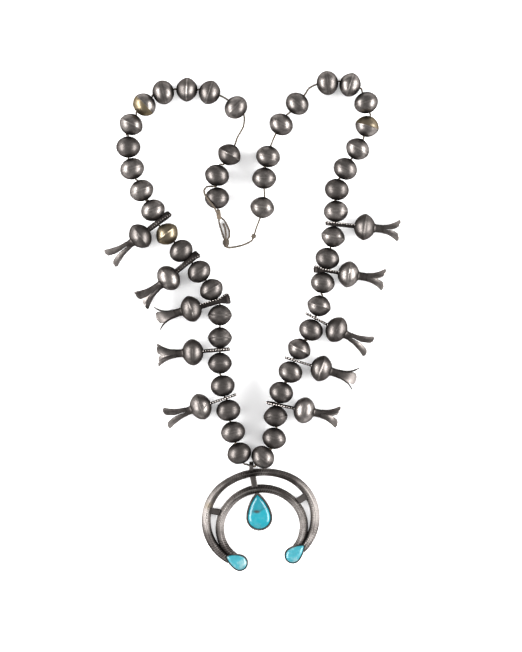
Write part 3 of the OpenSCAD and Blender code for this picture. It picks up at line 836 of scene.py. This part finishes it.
def noiseNode(tree, coords, scale, detail, roughness=0.55):
    inputs = {"Vector": coords, "Scale": scale, "Detail": detail, "Roughness": roughness}
    return addNode(tree, "ShaderNodeTexNoise", inputs).outputs["Fac"]


# a noise turned into a swing about zero
def swing(tree, source, amount):
    return mathNode(tree, "MULTIPLY", mathNode(tree, "SUBTRACT", source, 0.5), amount)


def addBump(tree, shader, height, strength, distance):
    bump = addNode(tree, "ShaderNodeBump", {"Height": height, "Strength": strength, "Distance": distance})
    tree.links.new(bump.outputs[0], shader.inputs["Normal"])


def silverMaterial():
    material, tree, shader = newMaterial("old_silver")
    coords = objectCoords(tree)
    cloud = noiseNode(tree, coords, silverLook["clouds"], 4)
    grain = noiseNode(tree, coords, silverLook["grain"], 4, 0.65)
    dark = mathNode(tree, "ADD", attributeNode(tree, "darkness"), swing(tree, cloud, 0.7))
    dark = mathNode(tree, "ADD", dark, swing(tree, grain, 0.35), clamp=True)
    grey = rampNode(tree, dark, (0, silverLook["clean"]), (0.45, silverLook["worn"]),
                    (1, silverLook["dark"]))
    colour = mixNode(tree, attributeNode(tree, "brass"), grey, silverLook["brass"])
    tree.links.new(colour, shader.inputs["Base Color"])
    shader.inputs["Metallic"].default_value = 1.0
    shader.inputs["Specular Tint"].default_value = (silverLook["edge"],) * 3 + (1,)
    rough = mathNode(tree, "MULTIPLY", dark, silverLook["rough"])
    rough = mathNode(tree, "ADD", silverLook["smooth"], rough)
    tree.links.new(rough, shader.inputs["Roughness"])
    pitted = mathNode(tree, "MULTIPLY", grain, 0.4)
    pitted = mathNode(tree, "ADD", mathNode(tree, "MULTIPLY", cloud, 0.6), pitted)
    addBump(tree, shader, pitted, 0.35, 0.00012)
    return material


def darkPatch(tree, coords, cloud, grain, colour):
    away = vectorNode(tree, "SUBTRACT", coords, patch["at"])
    turn = math.radians(patch["heading"])
    across = vectorNode(tree, "DOT_PRODUCT", away, (-math.sin(turn), math.cos(turn), 0))
    along = vectorNode(tree, "DOT_PRODUCT", away, (math.cos(turn), math.sin(turn), 0))
    wavy = mathNode(tree, "ADD", across, swing(tree, cloud, 0.004))
    upper = softStep(tree, wavy, -0.0004, 0.0006)
    colour = mixNode(tree, mathNode(tree, "MULTIPLY", upper, 0.6), colour, turquoise["deep"])
    atSeam = softStep(tree, mathNode(tree, "ABSOLUTE", wavy), 0.0011, 0.0001)
    started = softStep(tree, along, -0.0012, 0.0006)
    seamLine = mathNode(tree, "MULTIPLY", mathNode(tree, "MULTIPLY", atSeam, started), 0.55)
    colour = mixNode(tree, seamLine, colour, turquoise["shade"])
    spot = vectorNode(tree, "LENGTH", vectorNode(tree, "MULTIPLY", away, (1, patch["flat"], 0)))
    ragged = mathNode(tree, "ADD", spot, swing(tree, grain, 0.0016))
    blot = mathNode(tree, "MULTIPLY", softStep(tree, ragged, patch["radius"], 0.0004), 0.95)
    return mixNode(tree, blot, colour, turquoise["matrix"])


def turquoiseMaterial(name, look):
    material, tree, shader = newMaterial(name)
    coords = objectCoords(tree)
    cloud = noiseNode(tree, coords, turquoise["clouds"], 4)
    grain = noiseNode(tree, coords, turquoise["grain"], 3)
    shade = mathNode(tree, "ADD", cloud, swing(tree, grain, 0.3))
    clouded = rampNode(tree, shade, (0.3, turquoise["deep"]), (0.5, turquoise["main"]),
                       (0.72, turquoise["pale"]))
    colour = mixNode(tree, 1.0 - look["deep"], turquoise["deep"], turquoise["main"])
    colour = mixNode(tree, look["cloudy"], colour, clouded)
    colour = mixNode(tree, look["milky"], colour, turquoise["pale"])
    veins = addNode(tree, "ShaderNodeTexVoronoi", {"Vector": coords, "Scale": turquoise["veins"]},
                    feature="DISTANCE_TO_EDGE").outputs["Distance"]
    line = mathNode(tree, "LESS_THAN", veins, 0.012)
    few = mathNode(tree, "GREATER_THAN", cloud, 0.56)
    line = mathNode(tree, "MULTIPLY", mathNode(tree, "MULTIPLY", line, few), 0.5)
    colour = mixNode(tree, line, colour, turquoise["matrix"])
    if look["patch"]:
        colour = darkPatch(tree, coords, cloud, grain, colour)
    tree.links.new(colour, shader.inputs["Base Color"])
    shader.inputs["Roughness"].default_value = look["rough"]
    shader.inputs["Specular IOR Level"].default_value = look["gloss"]
    addBump(tree, shader, cloud, 0.15, 0.0001)
    return material


def cordMaterial():
    material, tree, shader = newMaterial("cotton_cord")
    coords = objectCoords(tree)
    cloud = noiseNode(tree, coords, cordLook["clouds"], 4)
    fibres = noiseNode(tree, coords, cordLook["fibres"], 3)
    shade = mathNode(tree, "ADD", attributeNode(tree, "darkness"), swing(tree, cloud, 0.8), clamp=True)
    tree.links.new(mixNode(tree, shade, cordLook["light"], cordLook["dark"]), shader.inputs["Base Color"])
    shader.inputs["Roughness"].default_value = cordLook["rough"]
    addBump(tree, shader, fibres, 0.5, 0.0001)
    return material


silver = silverMaterial()
cotton = cordMaterial()
print("materials ready")

for side in strings:
    finishPiece("beads_" + side, stringOfBeads(side), silver)
print("beads ready")
for name, row in blossomRows.items():
    finishPiece(name, makeBlossom(name, row), silver)
print("blossoms ready")
finishPiece("naja", makeNaja(), silver)
for name, setting in settings.items():
    stonePiece = newPiece()
    addPart(stonePiece, makeCabochon(setting), pendantPlace(*setting["at"]), 0.0)
    stoneMaterial = turquoiseMaterial("turquoise_" + name, stoneLooks[name])
    finishPiece("stone_" + name, stonePiece, stoneMaterial, 60)
print("pendant ready")

# each cord's route and darkness
routes = {
    "thread_left": (stringRoute("left"), 0.65), "thread_right": (stringRoute("right"), 0.65),
    "closure_loop": (loopRoute, 0.7), "cord_tail": (tailRoute, 0.6), "tie_cord": (tieRoute, 0.6),
}
knots = {"tie_knot": makeTieKnot, "loop_wrap": makeWrap, "loop_knot": makeLoopKnot}
cordPaths, cordObjects = {}, {}
for name, (route, darkness) in routes.items():
    cordPiece, cordPaths[name] = makeCord(route, darkness)
    cordObjects[name] = finishPiece(name, cordPiece, cotton, 80)
for name, makeKnot in knots.items():
    cordObjects[name] = finishPiece(name, makeKnot(), cotton, 80)
print("cords ready")

# Floor, light and camera, in metres: each lamp's place, size and power
lights = {
    "left": ((-0.78, 0.0, 0.34), (1.0, 0.35), 23.0),
    "right": ((0.78, 0.0, 0.34), (1.0, 0.35), 23.0),
    "top": ((0.0, 0.1, 1.9), (0.9, 0.9), 2.0),
}
stage = {"half": 1.5, "colour": (0.98, 0.98, 0.985, 1), "rough": 0.9, "glow": 0.08, "ambient": 0.9}
cameraAt = (0.0046, -0.0024, 1.206)
lampsAimAt = Vector((0.0046, -0.0024, 0.006))

floorPart = bmesh.new()
bmesh.ops.create_grid(floorPart, x_segments=1, y_segments=1, size=stage["half"])
floorMesh = bpy.data.meshes.new("floor")
floorPart.to_mesh(floorMesh)
floorPart.free()
floor = bpy.data.objects.new("floor", floorMesh)
bpy.context.scene.collection.objects.link(floor)
floorLook, _, floorShader = newMaterial("pale_floor")
floorShader.inputs["Base Color"].default_value = stage["colour"]
floorShader.inputs["Roughness"].default_value = stage["rough"]
floorShader.inputs["Emission Color"].default_value = (1, 1, 1, 1)  # a light table, so the shadows stay pale
floorShader.inputs["Emission Strength"].default_value = stage["glow"]
floorMesh.materials.append(floorLook)

for name, (at, size, power) in lights.items():
    lamp = bpy.data.lights.new(name + "_light", "AREA")
    lamp.shape = "RECTANGLE"
    lamp.size, lamp.size_y = size
    lamp.energy = power
    lampObject = bpy.data.objects.new(name + "_light", lamp)
    lampObject.location = at
    lampObject.rotation_euler = (lampsAimAt - Vector(at)).to_track_quat("-Z", "Y").to_euler()
    bpy.context.scene.collection.objects.link(lampObject)

world = bpy.data.worlds.new("studio")
world.use_nodes = True
world.node_tree.nodes["Background"].inputs["Color"].default_value = (1, 1, 1, 1)
world.node_tree.nodes["Background"].inputs["Strength"].default_value = stage["ambient"]
bpy.context.scene.world = world

cameraData = bpy.data.cameras.new("camera")
cameraData.lens = 125
cameraData.sensor_fit = "AUTO"
cameraData.sensor_width = 36
camera = bpy.data.objects.new("camera", cameraData)
camera.location = cameraAt
bpy.context.scene.collection.objects.link(camera)
bpy.context.scene.camera = camera
bpy.context.scene.view_settings.view_transform = "Standard"

print("stage ready")
